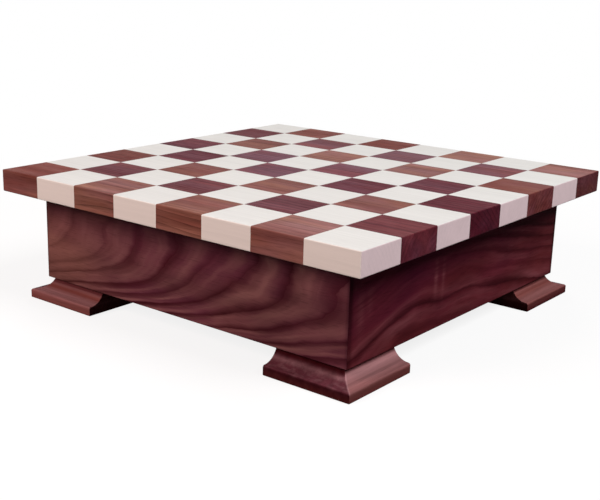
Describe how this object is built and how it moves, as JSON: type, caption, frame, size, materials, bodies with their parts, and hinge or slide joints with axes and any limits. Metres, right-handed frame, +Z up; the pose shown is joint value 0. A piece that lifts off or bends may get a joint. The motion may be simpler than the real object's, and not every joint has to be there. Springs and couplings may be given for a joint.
{
  "type": "checkerboard",
  "caption": "Square checkerboard of alternate walnut and maple blocks that lifts off a mitred walnut storage case on cove-edged feet.",
  "frame": {"origin": "centre of the base, on the surface that the feet stand on", "axes": "+Z up; +X along the board's long grain, from the left to the right corner of its front edge; +Y from the front edge to the back edge"},
  "size_m": [0.4064, 0.4064, 0.125],
  "materials": {
    "walnut_blocks": "satin oiled walnut, long grain on top, end grain on the right and left edges",
    "maple_blocks": "satin oiled hard maple, very fine grain",
    "walnut_case": "semi-gloss walnut with a bold sweeping figure",
    "walnut_feet": "semi-gloss walnut",
    "batten_maple": "planed maple, oiled",
    "plywood": "birch plywood, sanded",
    "felt": "pressed wool felt",
    "brass": "bright turned",
    "zinc_steel": "zinc plated, stamped"
  },
  "bodies": {
    "case": {"case_front": "walnut_case", "case_right": "walnut_case", "case_back": "walnut_case", "case_left": "walnut_case", "spline_front_right": "plywood", "spline_back_right": "plywood", "spline_back_left": "plywood", "spline_front_left": "plywood", "bottom_panel": "plywood", "felt_lining": "felt", "foot_front_right": "walnut_feet", "foot_back_right": "walnut_feet", "foot_back_left": "walnut_feet", "foot_front_left": "walnut_feet", "foot_screws": "brass"},
    "board": {"strip_1_walnut": "walnut_blocks", "strip_1_maple": "maple_blocks", "strip_2_walnut": "walnut_blocks", "strip_2_maple": "maple_blocks", "strip_3_walnut": "walnut_blocks", "strip_3_maple": "maple_blocks", "strip_4_walnut": "walnut_blocks", "strip_4_maple": "maple_blocks", "strip_5_walnut": "walnut_blocks", "strip_5_maple": "maple_blocks", "strip_6_walnut": "walnut_blocks", "strip_6_maple": "maple_blocks", "strip_7_walnut": "walnut_blocks", "strip_7_maple": "maple_blocks", "strip_8_walnut": "walnut_blocks", "strip_8_maple": "maple_blocks", "batten_left": "batten_maple", "batten_right": "batten_maple", "batten_washers": "zinc_steel", "batten_screws": "brass"}
  },
  "joints": [
    {"name": "board_lift", "type": "slide", "parent": "case", "child": "board", "axis": [0, 0, 1], "range_m": [0, 0.15]}
  ]
}
